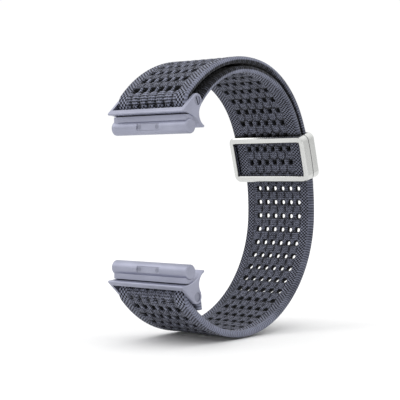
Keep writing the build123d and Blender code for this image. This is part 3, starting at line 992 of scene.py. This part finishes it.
lug_coat = metal("blasted_slate_metal", shade(164, 166, 182), shade(150, 152, 168), 0.5, 5200.0)
screw_coat = metal("coated_screw_heads", shade(146, 148, 163), shade(128, 130, 144), 0.42, 3800.0)
turned = metal("turned_pin_steel", shade(190, 191, 194), shade(160, 161, 165), 0.34, 1800.0,
               (0.05, 1.0, 1.0))
crimped = metal("pressed_strip_metal", shade(205, 205, 204), shade(180, 180, 180), 0.3, 2500.0)
print("nodes in the adapters' coat:", len(lug_coat.nodes))

# %% [markdown]
# The clasp has two halves, and the seam between them shows as a thin dark line of shade on its
# edges. The halves touch in the solids, so the line is painted shade: it lies at one distance from
# the centre of the arc on which the clasp slides.
# The frame's window has a bevel that mirrors dark yarn and lies in the gap's shade, and a deeper
# wall that mirrors the bright room. Soft light alone would leave both pale, so they get their own
# tones: a painted dark shade on the bevel and a brighter metal on the wall, chosen by how far a
# point lies outside the window and how far out from the same centre.

# %% Painted shade on the clasp
CLASP_ANGLE = math.radians(15.6)
SEAM_RADIUS = 60.60 * MM
WINDOW_WIDTH, WINDOW_LENGTH = 24.2 * MM, 10.0 * MM
BEVEL_FROM, BEVEL_TO = 57.7 * MM, 58.0 * MM


def from_slide_centre(made, spot):
    """Across, and Y and Z from the centre of the arc on which the clasp slides."""
    x, y, z = made.split(spot)
    return x, y - FAR_CENTRE[0] * MM, z - FAR_CENTRE[1] * MM


def painted_seam_shade(made, spot, colour):
    _, y, z = from_slide_centre(made, spot)
    flat = made.node("CombineXYZ", None, {0: 0.0, 1: y, 2: z})
    reach = made.node("VectorMath", {"operation": "LENGTH"}, {0: flat}, output="Value")
    # Painted shade along the seam between the clasp's two halves, where the solids leave no gap.
    off_seam = made.step(abs(reach - SEAM_RADIUS), 0.06 * MM, 0.22 * MM)
    return made.mix(off_seam, shade(70, 70, 72), colour)


def painted_seam_and_bevel_shade(made, spot, colour):
    x, y, z = from_slide_centre(made, spot)
    lengthways = z * math.cos(CLASP_ANGLE) - y * math.sin(CLASP_ANGLE)
    inward = y * math.cos(CLASP_ANGLE) + z * math.sin(CLASP_ANGLE)
    outside = made.node("Math", {"operation": "MAXIMUM"}, {
        0: abs(x) - WINDOW_WIDTH / 2, 1: abs(lengthways) - WINDOW_LENGTH / 2})
    past_bevel = made.step(inward, BEVEL_FROM, BEVEL_TO)
    # Painted dark shade on the window's bevel; the deeper wall gets a brighter metal.
    wall = made.mix(past_bevel, shade(58, 58, 61), shade(225, 226, 234))
    on_face = made.step(outside, 0.12 * MM, 0.24 * MM)
    return made.mix(on_face, wall, painted_seam_shade(made, spot, colour))


polish = dict(light=shade(205, 206, 204), dark=shade(199, 200, 198), gloss=0.24, grain=4200.0,
              stretch=(0.03, 1.0, 1.0), depth=0.004 * MM)
satin = metal("satin_clasp_metal", painted_shade=painted_seam_shade, **polish)
satin_frame = metal("satin_window_frame", painted_shade=painted_seam_and_bevel_shade, **polish)
print("nodes in the frame's satin:", len(satin_frame.nodes))

# %% [markdown]
# The ready metal pieces are named for what they are, and both adapters have the same ones, so
# the end of a name is enough to pick its finish.

# %% Cover the metal pieces
finish_of = {"lug_body": lug_coat, "retaining_plate": lug_coat, "screw_bar": screw_coat,
             "detent_button": turned, "plate_screws": screw_coat,
             "clasp_inner_frame": satin_frame, "clasp_outer_cover": satin,
             "clasp_divider_plate": satin, "clasp_dowel_pins": turned, "band_end_crimp": crimped}
covered = []
for node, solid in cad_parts.items():
    for ending, finish in finish_of.items():
        if node.endswith(ending):
            cover(solid, finish)
            covered.append(node)
print("metal finishes on", len(covered), "of", len(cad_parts), "nodes")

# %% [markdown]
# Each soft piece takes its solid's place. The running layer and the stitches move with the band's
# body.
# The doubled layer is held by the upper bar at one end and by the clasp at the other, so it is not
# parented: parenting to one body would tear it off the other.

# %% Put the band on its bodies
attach(running_knit, "band")
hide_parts("band_running_layer")
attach(stitching, "band")
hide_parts("lower_fold_stitching")


def far_side(angle, radius=RETURN_RADIUS):
    """A point in metres on the middle of the return layer's far arc."""
    turn = math.radians(angle)
    return (0, (FAR_CENTRE[0] + radius * math.cos(turn)) * MM,
            (FAR_CENTRE[1] + radius * math.sin(turn)) * MM)


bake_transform(return_knit)
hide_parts("band_return_layer")
print("the return layer bends from", [round(n / MM, 1) for n in far_side(36)], "mm to",
      [round(n / MM, 1) for n in far_side(21)], "mm")

# %% [markdown]
# Each spring stands on the adapter's plate with one end and under its button with the other.

# %% Put the springs behind the buttons
for side, spring in springs.items():
    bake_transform(spring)
    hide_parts(side + "_detent_spring")
    cover(spring, turned)

# %% [markdown]
# The floor is wide pale paper. It lies just under the band and is far larger than the picture,
# so that no edge of it shows.

# %% Floor
FLOOR_REACH = 6
floor_level = cad_box[0].z - 0.4 * MM
corners = ((-1, -1), (1, -1), (1, 1), (-1, 1))
floor_mesh = bpy.data.meshes.new("floor")
floor_mesh.from_pydata([(x * FLOOR_REACH, y * FLOOR_REACH, floor_level) for x, y in corners],
                       [], [(0, 1, 2, 3)])
floor = bpy.data.objects.new("floor", floor_mesh)
bpy.context.scene.collection.objects.link(floor)
paper = Finish("pale_paper")
paper_grain = paper.noise(paper.node("TexCoord", output="Object"), 900.0)
paper.set(Base_Color=paper.mix(paper_grain, shade(238, 238, 238), shade(241, 241, 241)),
          Roughness=0.9)
cover(floor, paper)
print("floor at", round(floor_level / MM, 2), "mm")

# %% [markdown]
# The light is that of a product picture: soft, even, and from everywhere. A white sky gives it,
# and is brighter overhead than low down. Area lamps would do as well, but they would show as
# patches in the clasp. The camera sees a plain white sky instead, so the paper stays white
# without washing out the dark yarn.

# %% Sky
WHITE = (1, 1, 1, 1)
SKY_SEEN, SKY_LOW, SKY_OVERHEAD = 1.02, 0.74, 1.50
world = bpy.data.worlds.new("white_room")
world.use_nodes = True
sky = NodeTree(world.node_tree)
sky.nodes.remove(sky.nodes["Background"])
upward = sky.split(sky.node("TexCoord", output="Generated"))[2]
strength = sky.node("MapRange", None, {"Value": upward, "To Min": SKY_LOW, "To Max": SKY_OVERHEAD})
room_light = sky.node("Background", None, {"Color": WHITE, "Strength": strength})
seen_light = sky.node("Background", None, {"Color": WHITE, "Strength": SKY_SEEN})
by_camera = sky.node("LightPath", output="Is Camera Ray")
either = sky.node("MixShader", None, {0: by_camera, 1: room_light, 2: seen_light})
sky.plug(either, sky.nodes["World Output"].inputs["Surface"])
bpy.context.scene.world = world
print("nodes in the sky:", len(sky.nodes))

# %% [markdown]
# One very large lamp far away, high on the left, adds the gentle fall of brightness that shows
# the shapes. A sun lamp lights the floor as evenly as the strap, and its wide angle keeps the
# shadow soft.

# %% Lamp
KEY_DIRECTION = (0.60, 0.60, -0.70)
key_light = bpy.data.lights.new("key_from_the_left", "SUN")
key_light.energy = 0.5
key_light.angle = math.radians(50)
key = bpy.data.objects.new("key_from_the_left", key_light)
key.rotation_euler = Vector(KEY_DIRECTION).to_track_quat("-Z", "Y").to_euler()
bpy.context.scene.collection.objects.link(key)
print("lamp strength:", key_light.energy)

# %% [markdown]
# The camera stands where it stood for the picture. Its place and lens come from fitting the rows
# of holes and the ring's edges to that picture, whose 400 pixels are the sensor's full width.
# The yarns are hardly larger than a pixel, so the noise cleaner gets the surface colours as they
# are, and doesn't take the pattern for noise. The Standard view keeps white paper white.

# %% Camera
SENSOR_WIDTH = 36
LENS_IN_PIXELS, PICTURE_WIDTH = 1104.5, 400
DOWNWARD, TURNED = 1.062, 39.241
camera_data = bpy.data.cameras.new("camera")
camera_data.sensor_width = SENSOR_WIDTH
camera_data.lens = SENSOR_WIDTH * LENS_IN_PIXELS / PICTURE_WIDTH
camera_data.clip_start, camera_data.clip_end = 0.01, 20
camera = bpy.data.objects.new("camera", camera_data)
camera.location = (0.19628, -0.22028, -0.01394)
camera.rotation_euler = (math.radians(90 - DOWNWARD), 0, math.radians(TURNED))
bpy.context.scene.collection.objects.link(camera)
bpy.context.scene.camera = camera
bpy.context.scene.view_settings.view_transform = "Standard"
bpy.context.scene.cycles.denoising_prefilter = "NONE"
print("lens:", round(camera_data.lens, 1), "mm")
